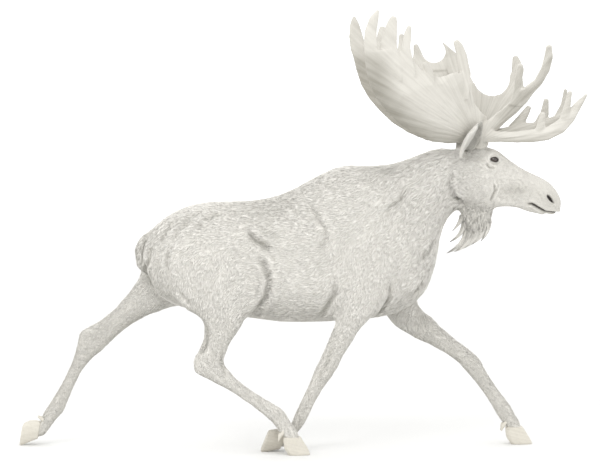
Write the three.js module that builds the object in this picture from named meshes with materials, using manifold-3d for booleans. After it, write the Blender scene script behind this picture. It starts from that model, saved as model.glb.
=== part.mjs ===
// A bull moose at a trot, life size: millimetres, +Z up, head towards +X, its right side towards -Y.
// The flesh is modelled whole from smooth bodies of rings and parted with thin cuts. Claws, eyes and antlers
// are bodies of their own. All four feet are on the floor, two flat and two on the tips of the toes.
import * as THREE from "three";
import { mergeVertices } from "three/addons/utils/BufferGeometryUtils.js";
import Module from "manifold-3d";

const wasm = await Module();
wasm.setup();

// ---------------------------------------------------------------- driving dimensions
const GAP = 0.4; // width of a parting cut
const WELD = 0.15; // corners nearer than this become one
const CLAW_LENGTH = 150; // sole of a main claw, toe to heel
const CLAW_HEIGHT = 112; // coronet to sole
const CLAW_HALF_WIDTH = 29;
const CLEFT = 7; // between the two claws of a foot
const TOE_REACH = 0.8 * CLAW_LENGTH; // toe in front of the coronet's middle
const TOE_FLAT = 4; // how much of a tipped toe's point the floor flattens
const EYE = { x: 1209, y: 90, z: 1858, radius: 24 };
const EAR = { x: 1014, y: 106, z: 1878, length: 300, thickness: 8 };
const BURR = { x: 1118, y: 70, z: 1953, lean: 30 }; // foot of an antler; leans out, in degrees
const ANTLER_RISE = 830; // burr to highest point
const SWEEP = 85; // how far the left antler's highest point lies behind the right's
const RIGHT = -1;
const LEFT = 1;

// ---------------------------------------------------------------- bodies of rings
const at = (x, y, z) => new THREE.Vector3(x, y, z);
const ACROSS = at(0, 1, 0);
const radians = THREE.MathUtils.degToRad;

function manifoldOf(geometry) {
  const bare = geometry.clone();
  bare.deleteAttribute("normal");
  bare.deleteAttribute("uv");
  const merged = mergeVertices(bare, 1e-3);
  const vertProperties = merged.attributes.position.array;
  const triVerts = new Uint32Array(merged.index.array);
  const made = new wasm.Manifold(new wasm.Mesh({ numProp: 3, vertProperties, triVerts }));
  if (made.volume() > 0) return made;
  triVerts.reverse();
  return new wasm.Manifold(new wasm.Mesh({ numProp: 3, vertProperties, triVerts }));
}

// A closed body through rings of equal length, with a fan at each end.
function body(rings) {
  const n = rings[0].length;
  const points = rings.flat();
  const faces = [];
  for (let start = 0; start + n < rings.length * n; start += n)
    for (let i = 0; i < n; i++) {
      const [a, b] = [start + i, start + ((i + 1) % n)];
      faces.push(a, b, a + n, b, b + n, a + n);
    }
  for (const [start, turned] of [[0, true], [(rings.length - 1) * n, false]]) {
    const sum = points.slice(start, start + n).reduce((total, p) => total.add(p), at(0, 0, 0));
    const centre = points.push(sum.divideScalar(n)) - 1;
    for (let i = 0; i < n; i++) {
      const [a, b] = [start + i, start + ((i + 1) % n)];
      faces.push(...(turned ? [centre, b, a] : [centre, a, b]));
    }
  }
  const geometry = new THREE.BufferGeometry().setFromPoints(points);
  geometry.setIndex(faces);
  return manifoldOf(geometry);
}

// One ring round a centre: `high` and `low` reach along `up`, `half` to each side. A positive taper moves
// the breadth towards the low side.
function ring({ centre, up, side, high, low = high, half, taper = 0, sides }) {
  return Array.from({ length: sides }, (_, k) => {
    const angle = (2 * Math.PI * k) / sides;
    const [u, s] = [Math.sin(angle), Math.cos(angle)];
    const lift = (high - low + u * (high + low)) / 2;
    const spread = half * s * (1 - taper * u);
    return centre.clone().addScaledVector(up, lift).addScaledVector(side, spread);
  });
}

// A body along the middle plane y = 0. Each row: top x, z, underside x, z, half breadth, taper.
function along(sides, rows) {
  return body(
    rows.map(([topX, topZ, lowX, lowZ, half, taper]) => {
      const centre = at((topX + lowX) / 2, 0, (topZ + lowZ) / 2);
      const up = at(topX, 0, topZ).sub(centre);
      const high = up.length();
      return ring({ centre, up: up.normalize(), side: ACROSS, high, half, taper, sides });
    }),
  );
}

// A round or flattened horn along a path. Each row: x, y, z, radius in the palm's plane, radius through it.
function horn(sides, through, rows) {
  const spot = (k) => at(...rows[Math.max(0, Math.min(rows.length - 1, k))]);
  return body(
    rows.map(([x, y, z, half, thick], k) => {
      const heading = spot(k + 1).sub(spot(k - 1));
      const up = at(0, 0, 0).crossVectors(heading, through).normalize();
      const side = at(0, 0, 0).crossVectors(up, heading).normalize();
      return ring({ centre: at(x, y, z), up, side, high: half, half: thick, sides });
    }),
  );
}

function ellipsoid(centre, radii, across, high) {
  const geometry = new THREE.SphereGeometry(1, across, high);
  const place = new THREE.Matrix4().compose(centre, new THREE.Quaternion(), radii);
  return manifoldOf(geometry.applyMatrix4(place));
}

// The surface of a finished solid, with the corners that joining left almost together made one.
function surfaceOf(solid) {
  const { vertProperties, triVerts } = solid.getMesh();
  const geometry = new THREE.BufferGeometry();
  geometry.setAttribute("position", new THREE.BufferAttribute(vertProperties, 3));
  geometry.setIndex(new THREE.BufferAttribute(triVerts, 1));
  const welded = mergeVertices(geometry, WELD);
  const corners = Array.from(welded.index.array);
  const kept = [];
  for (let i = 0; i < corners.length; i += 3) {
    const [a, b, c] = corners.slice(i, i + 3);
    if (a !== b && b !== c && c !== a) kept.push(a, b, c);
  }
  welded.setIndex(kept);
  welded.computeVertexNormals();
  return welded;
}

const joined = (solids) => solids.reduce((whole, solid) => whole.add(solid));
const largest = (solid) => solid.decompose().sort((a, b) => b.volume() - a.volume())[0];

// ---------------------------------------------------------------- trunk, neck and head
// From the buttocks over croup, loin and shoulder hump, and up the crest of the neck to the poll.
const torso = along(16, [
  [-1050, 1325, -1040, 1215, 65, 0],
  [-1015, 1390, -995, 1065, 126, 0],
  [-955, 1455, -925, 970, 177, 0.02],
  [-867, 1525, -840, 912, 219, 0.05],
  [-755, 1580, -725, 880, 244, 0.08],
  [-620, 1609, -605, 865, 253, 0.1],
  [-465, 1609, -457, 845, 253, 0.1],
  [-305, 1616, -303, 822, 268, 0.14],
  [-149, 1646, -149, 799, 285, 0.18],
  [-21, 1709, -8, 797, 288, 0.22],
  [107, 1788, 139, 801, 281, 0.27],
  [235, 1845, 268, 807, 264, 0.3],
  [395, 1843, 441, 815, 246, 0.3],
  [523, 1842, 605, 848, 225, 0.24],
  [607, 1862, 735, 920, 205, 0.16],
  [680, 1888, 812, 1010, 184, 0.08],
  [745, 1914, 858, 1150, 166, 0],
  [805, 1938, 878, 1276, 149, -0.02],
  [865, 1954, 892, 1376, 134, -0.02],
  [930, 1955, 925, 1450, 121, 0],
  [990, 1925, 990, 1530, 97, 0],
  [1040, 1850, 1040, 1640, 56, 0],
]);

// From inside the neck over the poll and the long face to the overhanging muffle.
const skull = along(16, [
  [940, 1890, 965, 1670, 70, 0],
  [985, 1926, 975, 1606, 98, 0],
  [1045, 1940, 1010, 1572, 112, 0],
  [1118, 1944, 1085, 1556, 112, -0.1],
  [1185, 1940, 1170, 1560, 108, -0.16],
  [1245, 1920, 1240, 1572, 98, -0.1],
  [1311, 1868, 1308, 1582, 82, 0],
  [1382, 1817, 1378, 1578, 74, 0.04],
  [1453, 1778, 1444, 1560, 74, 0.08],
  [1520, 1750, 1506, 1534, 82, 0.1],
  [1582, 1712, 1562, 1506, 88, 0.08],
  [1628, 1658, 1606, 1494, 80, 0],
  [1650, 1602, 1636, 1504, 56, 0],
  [1656, 1562, 1650, 1530, 18, 0],
]);

const lowerJaw = along(8, [
  [1000, 1650, 1000, 1600, 60, 0],
  [1070, 1650, 1072, 1556, 86, 0],
  [1165, 1645, 1160, 1541, 84, -0.1],
  [1280, 1620, 1282, 1549, 64, -0.1],
  [1370, 1600, 1366, 1545, 52, 0],
  [1450, 1580, 1446, 1514, 47, 0.1],
  [1520, 1560, 1516, 1500, 44, 0.1],
  [1566, 1545, 1563, 1508, 34, 0],
  [1584, 1536, 1582, 1524, 12, 0],
]);

// A place on the axis of the right antler's beam, by its height above the burr.
function onBeam(height) {
  const lean = radians(BURR.lean);
  return [BURR.x, -BURR.y - height * Math.sin(lean), BURR.z + height * Math.cos(lean)];
}

// The skull's stump under the right antler, ending a thin gap below the burr.
const pedicle = horn(6, at(1, 0, 0), [
  [...onBeam(-80), 50, 50],
  [...onBeam(-30), 48, 48],
  [...onBeam(-GAP), 47, 47],
]);

const mirrored = (solid, hand) => (hand === LEFT ? solid.mirror([0, 1, 0]) : solid);
const cheek = ellipsoid(at(1100, -74, 1690), at(128, 50, 116), 8, 6);
const eyeRim = ellipsoid(at(EYE.x - 6, 18 - EYE.y, EYE.z + 12), at(62, 34, 42), 8, 5);
const headParts = [RIGHT, LEFT].flatMap((hand) => {
  return [cheek, eyeRim, pedicle].map((solid) => mirrored(solid, hand));
});

// The flap of hairy skin that hangs under the throat.
const bell = along(8, [
  [1215, 1600, 1000, 1560, 50, 0],
  [1234, 1510, 992, 1505, 44, 0],
  [1226, 1430, 1002, 1440, 35, 0],
  [1150, 1335, 990, 1358, 22, 0],
  [1030, 1270, 956, 1296, 12, 0],
  [930, 1242, 905, 1250, 4, 0],
]);

const tail = along(8, [
  [-985, 1425, -940, 1400, 28, 0],
  [-1050, 1370, -975, 1350, 40, 0],
  [-1082, 1285, -985, 1282, 42, 0],
  [-1072, 1185, -992, 1186, 36, 0],
  [-1036, 1112, -1020, 1112, 8, 0],
]);

// The right ear, a cupped leaf: a flattened cone hollowed from its open side.
function ear() {
  const base = at(EAR.x, -EAR.y, EAR.z);
  const axis = at(0.34, -0.56, 0.76).normalize();
  const open = at(0.5, -0.8, -0.2);
  open.addScaledVector(axis, -open.dot(axis)).normalize();
  const side = at(0, 0, 0).crossVectors(axis, open);
  // Each row: place along the ear, half breadth, half depth.
  const rows = [[0, 28, 28], [0.15, 42, 32], [0.38, 58, 32], [0.6, 55, 26], [0.82, 34, 16], [1, 5, 4]];
  const leaf = (part, thinner, shift) =>
    body(
      part.map(([place, half, deep]) => {
        const centre = base.clone().addScaledVector(axis, place * EAR.length).addScaledVector(open, shift);
        const [breadth, high] = [Math.max(1, half - thinner), Math.max(1, deep - thinner / 2)];
        return ring({ centre, up: open, side, high, half: breadth, sides: 8 });
      }),
    );
  return leaf(rows, 0, 0).subtract(leaf(rows.slice(1), EAR.thickness, EAR.thickness * 1.8));
}

// ---------------------------------------------------------------- legs
// Each row: place along the leg (number of the bone and share of it), reach in front of and behind the line
// of the bones, half breadth. The hind bones are thigh, gaskin, cannon and pastern.
const HIND_PROFILE = [
  [0, 229, 229, 50],
  [0.2, 310, 277, 100],
  [0.4, 368, 320, 128],
  [0.6, 355, 298, 132],
  [0.8, 304, 244, 118],
  [1, 208, 164, 94],
  [1.25, 128, 118, 76],
  [1.5, 101, 96, 60],
  [1.75, 97, 103, 52],
  [1.9, 107, 134, 50],
  [2, 109, 124, 50],
  [2.13, 71, 82, 47],
  [2.35, 43, 59, 37],
  [2.6, 44, 53, 33],
  [2.82, 54, 53, 38],
  [3, 63, 59, 46],
  [3.35, 53, 57, 42],
  [4, 54, 55, 53],
  [4.2, 46, 48, 48],
];
// The fore bones are shoulder with upper arm, forearm, cannon and pastern.
const FORE_PROFILE = [
  [0, 124, 124, 30],
  [0.2, 191, 186, 66],
  [0.45, 215, 205, 86],
  [0.7, 202, 199, 92],
  [0.9, 180, 174, 86],
  [1.08, 153, 158, 78],
  [1.25, 126, 141, 70],
  [1.5, 92, 99, 56],
  [1.78, 76, 78, 49],
  [1.95, 80, 78, 55],
  [2.1, 67, 71, 48],
  [2.35, 54, 58, 38],
  [2.65, 52, 55, 35],
  [2.88, 57, 61, 43],
  [3.05, 57, 65, 45],
  [3.4, 52, 57, 42],
  [4, 54, 55, 53],
  [4.2, 46, 48, 48],
];

// Joints from hip or withers to the coronet, where the claws begin. `turn` tips the foot: 0 stands flat on
// its soles, and about -110 rests on the tips of the toes with the soles facing back. `bulk` scales the reach
// in front and behind above the knee or hock. `cuts` says where the leg is parted, as places along it.
const LEGS = {
  hind_right: {
    joints: [[-700, -135, 1420], [-507, -200, 885], [-602, -215, 560], [-165, -248, 238], [-80, -262]],
    hand: RIGHT, turn: 0, bulk: [1, 1], cuts: [1.1, 2.1], profile: HIND_PROFILE,
  },
  hind_left: {
    joints: [[-690, 135, 1370], [-970, 190, 1012], [-1368, 195, 668], [-1600, 195, 240], [-1708, 195]],
    hand: LEFT, turn: -100, bulk: [0.94, 0.82], cuts: [1.08, 2.08], profile: HIND_PROFILE,
  },
  fore_right: {
    joints: [[375, -135, 1640], [352, -212, 970], [143, -178, 544], [-38, -135, 200], [-130, -120]],
    hand: RIGHT, turn: -113, bulk: [1, 1], cuts: [1.45, 2.05], profile: FORE_PROFILE,
  },
  fore_left: {
    joints: [[480, 135, 1620], [645, 205, 878], [1076, 172, 562], [1325, 165, 202], [1379, 165]],
    hand: LEFT, turn: 0, bulk: [0.76, 0.95], cuts: [1.3, 2.05], profile: FORE_PROFILE,
  },
};

// Height of the coronet with the soles, or the tips of the toes, just on the floor.
function coronetHeight(turn) {
  const tipped = radians(turn);
  const onToes = TOE_REACH * Math.sin(-tipped) + 0.93 * CLAW_HEIGHT * Math.cos(tipped) - TOE_FLAT;
  return turn ? onToes : CLAW_HEIGHT;
}

const jointsOf = ({ joints, turn }) => joints.map(([x, y, z = coronetHeight(turn)]) => at(x, y, z));

// A whole leg through its joints. The rings turn half way at each joint.
function legOf(leg) {
  const joints = jointsOf(leg);
  const spot = (place) => {
    const bone = Math.max(0, Math.min(joints.length - 2, Math.floor(place)));
    return joints[bone].clone().lerp(joints[bone + 1], place - bone);
  };
  return body(
    leg.profile.map(([place, front, back, half]) => {
      const heading = spot(place + 0.14).sub(spot(place - 0.14));
      const up = at(-heading.z, 0, heading.x).normalize();
      const side = at(0, 0, 0).crossVectors(heading, up).normalize();
      const [before, behind] = place < 2 ? leg.bulk : [1, 1];
      const [high, low] = [front * before, back * behind];
      return ring({ centre: spot(place), up, side, high, low, half, sides: 8 });
    }),
  );
}

// ---------------------------------------------------------------- feet
// One claw in the foot's own frame: coronet at z = 0, toe towards +X, sole at z = -CLAW_HEIGHT.
function claw(side) {
  // Each row: depth below the coronet as a share, reach to the toe, to the heel, breadth as a share, taper.
  const rows = [
    [0, 58, 56, 0.8, 0.1],
    [0.3, 78, 56, 0.92, 0.18],
    [0.65, 0.86 * TOE_REACH, 50, 1, 0.3],
    [0.93, TOE_REACH, CLAW_LENGTH - TOE_REACH, 1, 0.38],
    [1, 0.96 * TOE_REACH, 0.96 * CLAW_LENGTH - TOE_REACH, 0.9, 0.38],
  ];
  return body(
    rows.map(([depth, high, low, breadth, taper]) => {
      const centre = at(0, side * (CLAW_HALF_WIDTH + CLEFT / 2), -depth * CLAW_HEIGHT);
      const half = CLAW_HALF_WIDTH * breadth;
      return ring({ centre, up: at(1, 0, 0), side: ACROSS, high, low, half, taper, sides: 8 });
    }),
  );
}

function dewclaw(side, grow = 0) {
  return horn(5, ACROSS, [
    [-46 + grow, side * 20, 38 + grow, 14 + grow, 12 + grow],
    [-74, side * 25, 9, 16 + grow, 12 + grow],
    [-88, side * 27, -34, 4, 4],
  ]);
}

// Moves a solid of the foot's frame to the leg's end, turned about Y.
function placed(solid, coronet, turn) {
  const turned = new THREE.Quaternion().setFromAxisAngle(ACROSS, radians(-turn));
  return solid.transform(new THREE.Matrix4().compose(coronet, turned, at(1, 1, 1)).elements);
}

// ---------------------------------------------------------------- antlers
// The palm of an antler, a dished plate. Each row: rear edge x, y, z, front edge x, y, z, half
// thickness, and how far the plate bellies outwards.
const PALM = [
  [1052, -86, 1980, 1172, -102, 2067, 26, 0],
  [992, -100, 1966, 1162, -112, 2131, 20, 6],
  [904, -150, 1961, 1126, -142, 2161, 15, 20],
  [795, -195, 1976, 1081, -185, 2216, 12, 38],
  [685, -250, 2023, 1050, -240, 2300, 11, 54],
  [586, -308, 2086, 1022, -298, 2402, 10, 64],
  [505, -362, 2167, 945, -345, 2416, 9, 68],
  [439, -418, 2248, 840, -388, 2381, 9, 62],
  [391, -470, 2341, 736, -438, 2414, 8, 50],
  [368, -518, 2433, 660, -486, 2492, 8, 36],
  [356, -560, 2545, 560, -536, 2555, 8, 18],
];
const PALM_OUTWARD = at(0, -0.88, -0.47);
const BEAM = [
  [...onBeam(0), 54, 54],
  [...onBeam(12), 57, 57],
  [...onBeam(24), 45, 45],
  [1118, -94, 2000, 48, 34],
  [1112, -106, 2040, 54, 20],
];

// The hidden root of a point, in the middle of the plate: the row it starts from, its share of the way from the
// rear edge to the front one, and its half width.
function rootIn(row, share, half) {
  const [rear, front] = [at(...PALM[row].slice(0, 3)), at(...PALM[row].slice(3, 6))];
  const bellied = 4 * share * (1 - share) * PALM[row][7];
  return [...rear.lerp(front, share).addScaledVector(PALM_OUTWARD, bellied), half, 4];
}

// What leaves the right antler's plate and beam. Each row: x, y, z, half width, half thickness.
const RIGHT_HORNS = {
  sweep: 0,
  // Points along the palm's upper edge, from the rear forwards.
  palm: [
    [rootIn(9, 0.16, 30), [397, -566, 2573, 44, 11], [395, -590, 2656, 38, 12], [416, -608, 2735, 28, 11],
      [440, -622, 2785, 6, 6]],
    [rootIn(8, 0.48, 40), [507, -550, 2584, 54, 10], [520, -575, 2662, 42, 12], [531, -590, 2717, 30, 11],
      [538, -599, 2746, 16, 9]],
    [rootIn(8, 0.76, 34), [617, -530, 2556, 28, 10], [625, -553, 2640, 23, 10], [636, -569, 2689, 12, 8]],
    [rootIn(7, 0.84, 34), [765, -440, 2418, 26, 9], [733, -460, 2466, 12, 8]],
    [rootIn(4, 0.84, 44), [1001, -305, 2404, 40, 11], [979, -345, 2518, 32, 12],
      [956, -366, 2574, 27, 11], [938, -378, 2604, 15, 9]],
  ],
  // The forward fork: its main point, then the point that leaves it.
  fork: [
    [[1100, -108, 2000, 48, 26], [1177, -122, 2062, 50, 20], [1240, -142, 2119, 46, 17],
      [1315, -180, 2184, 45, 15], [1372, -215, 2252, 47, 14], [1420, -255, 2306, 34, 14],
      [1467, -278, 2352, 29, 13], [1507, -308, 2430, 29, 13], [1524, -330, 2508, 28, 12],
      [1524, -350, 2576, 17, 9]],
    [[1330, -205, 2205, 38, 12], [1344, -238, 2305, 25, 12], [1345, -262, 2368, 22, 11],
      [1352, -280, 2430, 24, 11], [1351, -290, 2461, 15, 9]],
  ],
  // The brow palm over the face, with its two upper points.
  brow: [
    [[1090, -95, 2008, 48, 30], [1162, -122, 2006, 38, 22], [1243, -145, 2005, 34, 16],
      [1346, -170, 2002, 36, 13], [1439, -186, 2011, 43, 12], [1533, -192, 2022, 40, 11],
      [1618, -188, 2068, 44, 11], [1677, -180, 2126, 38, 11], [1731, -170, 2200, 25, 10],
      [1790, -158, 2272, 5, 5]],
    [[1486, -188, 2026, 34, 10], [1499, -196, 2095, 24, 10], [1506, -204, 2158, 15, 8]],
    [[1644, -185, 2116, 30, 10], [1661, -192, 2195, 22, 10], [1679, -199, 2290, 12, 8]],
  ],
};

// The same for the left antler, as if it stood on the right: webbed higher between its points, and with a
// third point on its brow palm.
const LEFT_HORNS = {
  sweep: SWEEP,
  palm: [
    [rootIn(9, 0.16, 30), [400, -566, 2573, 54, 11], [402, -590, 2656, 47, 12], [420, -608, 2735, 31, 11],
      [440, -622, 2785, 6, 6]],
    [rootIn(8, 0.6, 40), [556, -545, 2570, 54, 10], [579, -572, 2668, 33, 11], [595, -586, 2716, 16, 9]],
    [rootIn(8, 0.84, 34), [681, -510, 2530, 34, 10], [696, -540, 2615, 25, 10], [703, -555, 2665, 14, 8]],
    [rootIn(7, 0.84, 40), [779, -440, 2450, 60, 10], [781, -462, 2535, 30, 10], [777, -478, 2597, 13, 8]],
    [rootIn(4, 0.84, 44), [1049, -265, 2340, 82, 11], [1009, -335, 2440, 58, 11],
      [997, -375, 2525, 34, 11], [942, -398, 2603, 13, 8]],
    // The web between the palm and the fork.
    [[1122, -106, 2030, 50, 18], [1179, -140, 2120, 88, 13], [1226, -178, 2196, 116, 10],
      [1225, -206, 2258, 114, 7]],
  ],
  // The web between the palm's last two points, which slants with them.
  web: [[[905, -352, 2360, 84, 7], [905, -381, 2418, 96, 8], [901, -404, 2474, 92, 7]]],
  fork: [
    [[1102, -108, 2000, 48, 26], [1200, -122, 2058, 50, 20], [1267, -142, 2116, 46, 17],
      [1354, -180, 2181, 45, 15], [1424, -215, 2250, 47, 14], [1483, -255, 2306, 34, 14],
      [1539, -278, 2354, 26, 13], [1592, -308, 2435, 25, 13], [1623, -330, 2515, 22, 12],
      [1637, -350, 2570, 10, 9]],
    [[1338, -205, 2190, 60, 13], [1375, -245, 2300, 74, 12], [1402, -275, 2410, 36, 12],
      [1406, -290, 2480, 30, 11], [1401, -298, 2517, 16, 9]],
  ],
  brow: [
    [[1090, -95, 2008, 48, 30], [1162, -122, 2008, 38, 22], [1243, -145, 2010, 39, 16],
      [1346, -170, 2016, 50, 13], [1439, -186, 2028, 60, 12], [1533, -192, 2040, 56, 11],
      [1618, -188, 2074, 50, 11], [1676, -180, 2118, 36, 11], [1738, -170, 2165, 22, 10],
      [1777, -162, 2202, 6, 6]],
    [[1372, -180, 2045, 46, 11], [1427, -194, 2120, 30, 10], [1472, -204, 2192, 14, 8]],
    [[1535, -188, 2060, 46, 10], [1571, -197, 2150, 28, 10], [1582, -205, 2240, 14, 8]],
    [[1659, -185, 2110, 34, 10], [1697, -193, 2205, 21, 10], [1707, -200, 2302, 9, 8]],
  ],
};

// An antler on the right, its upper parts leaning back by `sweep` at the top: the two are never quite a pair.
function antlerOf({ sweep, palm, web = [], fork, brow }) {
  const lean = ([x, y, z, ...rest]) => {
    const risen = Math.max(0, z - BURR.z) / ANTLER_RISE;
    return [x - sweep * risen ** 5, y, z, ...rest];
  };
  const plate = PALM.map((row) => {
    const [rear, front] = [at(...lean(row.slice(0, 3))), at(...lean(row.slice(3, 6)))];
    const [thick, belly] = row.slice(6);
    return Array.from({ length: 8 }, (_, k) => {
      const angle = (Math.PI * (k + 0.2)) / 4;
      const across = Math.cos(angle);
      const rim = 1 + 0.8 * Math.max(0, -across) ** 2; // stoutest along the rear edge
      const out = belly * (1 - across * across) + thick * rim * Math.sin(angle);
      return rear.clone().lerp(front, (1 + across) / 2).addScaledVector(PALM_OUTWARD, out);
    });
  });
  const points = (through, lists) => lists.map((rows) => horn(5, through, rows.map(lean)));
  return joined([
    horn(8, at(1, 0, 0), BEAM),
    body(plate),
    ...points(PALM_OUTWARD, palm),
    ...points(at(0.34, -0.88, -0.33), web),
    ...points(at(0, -0.86, -0.5), fork),
    ...points(at(0, -1, 0), brow),
  ]);
}

// ---------------------------------------------------------------- parting
const nodes = {};
const everywhere = manifoldOf(new THREE.BoxGeometry(8000, 8000, 8000));

// What lies in front of every plane. A plane is a point on it and the way it faces; `grow` moves it back.
function within(solid, planes, grow = 0) {
  return planes.reduce((rest, [point, facing]) => {
    const normal = facing.clone().normalize();
    return rest.trimByPlane(normal.toArray(), normal.dot(point) - grow);
  }, solid);
}

// Gives what lies in front of the planes to a node of its own, and returns the rest.
function part(name, solid, planes) {
  nodes[name] = largest(within(solid, planes));
  return solid.subtract(within(everywhere, planes, GAP));
}

// A solid less its neighbour, with the gap opened in the direction in which they meet.
function clearOf(solid, neighbour, direction) {
  const gap = direction.clone().setLength(GAP).toArray();
  return solid.subtract(neighbour).subtract(neighbour.translate(gap));
}

const onFloor = (solid) => within(solid, [[at(0, 0, 0), at(0, 0, 1)]]);

// Feet, and each leg parted below the elbow or stifle and below the knee or hock.
const LENGTHS = { hind: "gaskin", fore: "forearm" };
const upperLegs = Object.entries(LEGS).map(([name, leg]) => {
  const [kind, side] = name.split("_");
  const [, elbow, knee, fetlock, coronet] = jointsOf(leg);
  const inFoot = (solid) => onFloor(placed(solid, coronet, leg.turn));
  const legward = at(0, 0, 1).applyAxisAngle(ACROSS, radians(-leg.turn));
  let limb = within(legOf(leg), [[coronet.clone().addScaledVector(legward, GAP), legward]]);
  for (const [place, across] of [["inner", -leg.hand], ["outer", leg.hand]]) {
    nodes[`hoof_${name}_${place}`] = inFoot(claw(across));
    nodes[`dewclaw_${name}_${place}`] = inFoot(dewclaw(across));
    limb = limb.subtract(placed(dewclaw(across, GAP), coronet, leg.turn));
  }
  const below = (from, to, share) => [[from.clone().lerp(to, share), to.clone().sub(from)]];
  limb = part(`cannon_${name}`, limb, below(knee, fetlock, leg.cuts[1] - 2));
  limb = part(`${LENGTHS[kind]}_${side}`, limb, below(elbow, knee, leg.cuts[0] - 1));
  return largest(limb);
});

let flesh = joined([torso, skull, lowerJaw, ...headParts, ...upperLegs]);
for (const [side, hand] of [["right", RIGHT], ["left", LEFT]]) {
  const ball = (radius) => ellipsoid(at(EYE.x, hand * EYE.y, EYE.z), at(radius, radius, radius), 8, 6);
  nodes[`eye_${side}`] = ball(EYE.radius);
  flesh = flesh.subtract(ball(EYE.radius + GAP));
  nodes[`ear_${side}`] = largest(clearOf(mirrored(ear(), hand), flesh, at(0.3, hand * 0.5, 0.8)));
  let antler = mirrored(antlerOf(hand === LEFT ? LEFT_HORNS : RIGHT_HORNS), hand);
  antler = part(`antler_${side}_fork`, antler, [
    [at(1165, 0, 2060), at(1, 0, 0.1)],
    [at(1140, 0, 2020), at(-0.6, 0, 0.8)],
  ]);
  antler = part(`antler_${side}_brow`, antler, [[at(1185, 0, 1980), at(1, 0, -0.1)]]);
  nodes[`antler_${side}_palm`] = largest(antler);
}
nodes.bell = largest(clearOf(bell, flesh, at(0.6, 0, -0.8)));
nodes.tail = largest(clearOf(tail, flesh, at(-1, 0, -0.4)));

// Haunches and shoulders leave the trunk along slanting planes; each pair is its front and rear limits.
const UPPER_PARTS = {
  thigh_right: [[at(0, -100, 900), at(0, -1, -0.38)], [at(-395, 0, 1100), at(-1, 0, 0.1)]],
  thigh_left: [[at(0, 100, 900), at(0, 1, -0.38)], [at(-500, 0, 1100), at(-1, 0, 0.1)]],
  shoulder_right: [
    [at(0, -130, 900), at(0, -1, -0.24)],
    [at(150, 0, 1100), at(1, 0, 0.08)],
    [at(575, 0, 1100), at(-1, 0, 0.05)],
  ],
  shoulder_left: [
    [at(0, 130, 900), at(0, 1, -0.24)],
    [at(390, 0, 1100), at(1, 0, 0.15)],
    [at(765, 0, 1100), at(-0.94, 0, -0.36)],
  ],
  head: [[at(985, 0, 1750), at(1, 0, 0.12)]],
  neck: [[at(670, 0, 1450), at(0.94, 0, 0.34)]],
};
for (const [name, planes] of Object.entries(UPPER_PARTS)) flesh = part(name, flesh, planes);
nodes.trunk = largest(flesh);

// ---------------------------------------------------------------- colours and the finished group
const FINISHES = {
  hoof: { color: 0xc9c4b8, roughness: 0.5 },
  dewclaw: { color: 0xc9c4b8, roughness: 0.5 },
  antler: { color: 0xddd8cc, roughness: 0.7 },
  eye: { color: 0x1d1713, roughness: 0.1 },
};
const COAT = { color: 0xe6e2d8, roughness: 0.9 };

// The finished animal stands on the floor with the middle of its box over the origin.
const moose = new THREE.Group();
for (const [name, solid] of Object.entries(nodes)) {
  const finish = FINISHES[name.split("_")[0]] ?? COAT;
  const mesh = new THREE.Mesh(surfaceOf(solid), new THREE.MeshStandardMaterial({ metalness: 0, ...finish }));
  mesh.name = name;
  moose.add(mesh);
}
const box = new THREE.Box3().setFromObject(moose);
const middle = box.getCenter(at(0, 0, 0));
moose.position.set(-middle.x, -middle.y, -box.min.z);
export default moose;
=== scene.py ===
"""A bull moose at a stretched trot, life size, as a still museum model.

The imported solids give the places. Their flesh becomes one skin: each node's signed distance is sampled on a
grid of voxels, the least of them is the whole animal, and its zero surface is blurred, relaxed and sunk by
the coat's depth. Creases and swellings are laid on it as bell curves of the distance to named lines. Tufts
grow from the skin: each starts at a random place, steps along the lie of the coat, and is held at its
height over the skin by the skin's own signed distance, so that it follows every hollow. A tuft's sections
are triangles, widest a third to halfway along.
"""

import bpy
import numpy as np
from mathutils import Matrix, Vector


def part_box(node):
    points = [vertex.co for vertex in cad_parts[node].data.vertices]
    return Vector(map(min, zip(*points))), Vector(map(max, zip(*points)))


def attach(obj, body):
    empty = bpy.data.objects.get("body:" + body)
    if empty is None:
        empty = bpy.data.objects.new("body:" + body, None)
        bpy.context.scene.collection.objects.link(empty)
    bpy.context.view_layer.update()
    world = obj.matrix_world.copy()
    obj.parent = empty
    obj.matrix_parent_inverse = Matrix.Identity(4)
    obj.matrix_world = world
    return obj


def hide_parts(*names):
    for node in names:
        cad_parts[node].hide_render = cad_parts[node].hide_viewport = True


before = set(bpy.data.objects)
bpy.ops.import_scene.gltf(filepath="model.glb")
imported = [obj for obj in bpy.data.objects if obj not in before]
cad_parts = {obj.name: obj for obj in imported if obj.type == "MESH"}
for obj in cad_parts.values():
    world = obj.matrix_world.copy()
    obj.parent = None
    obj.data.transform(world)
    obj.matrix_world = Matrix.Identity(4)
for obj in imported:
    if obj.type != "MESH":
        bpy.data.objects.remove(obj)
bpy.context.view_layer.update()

import openvdb as vdb
from mathutils import Vector

# ---------------------------------------------------------------- Skin
# The hide of the whole animal with the muscles and folds that show through it: soft, warm and hair-covered.
# It is one piece over trunk, neck, head, legs, bell and tail, so that no seam shows.
NOT_FLESH = ("hoof", "dewclaw", "eye", "antler", "ear")
FLESH = [n for n in sorted(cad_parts) if n.split("_")[0] not in NOT_FLESH]
# Voxels on each side of a surface within which a grid knows its distance.
BAND = 5.0


def mesh_of(node):
    """Corner places and triangles of a node."""
    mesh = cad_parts[node].data
    mesh.calc_loop_triangles()
    points = np.empty(len(mesh.vertices) * 3, np.float32)
    mesh.vertices.foreach_get("co", points)
    corners = np.empty(len(mesh.loop_triangles) * 3, np.int32)
    mesh.loop_triangles.foreach_get("vertices", corners)
    return points.reshape(-1, 3), corners.reshape(-1, 3).astype(np.uint32)


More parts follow.
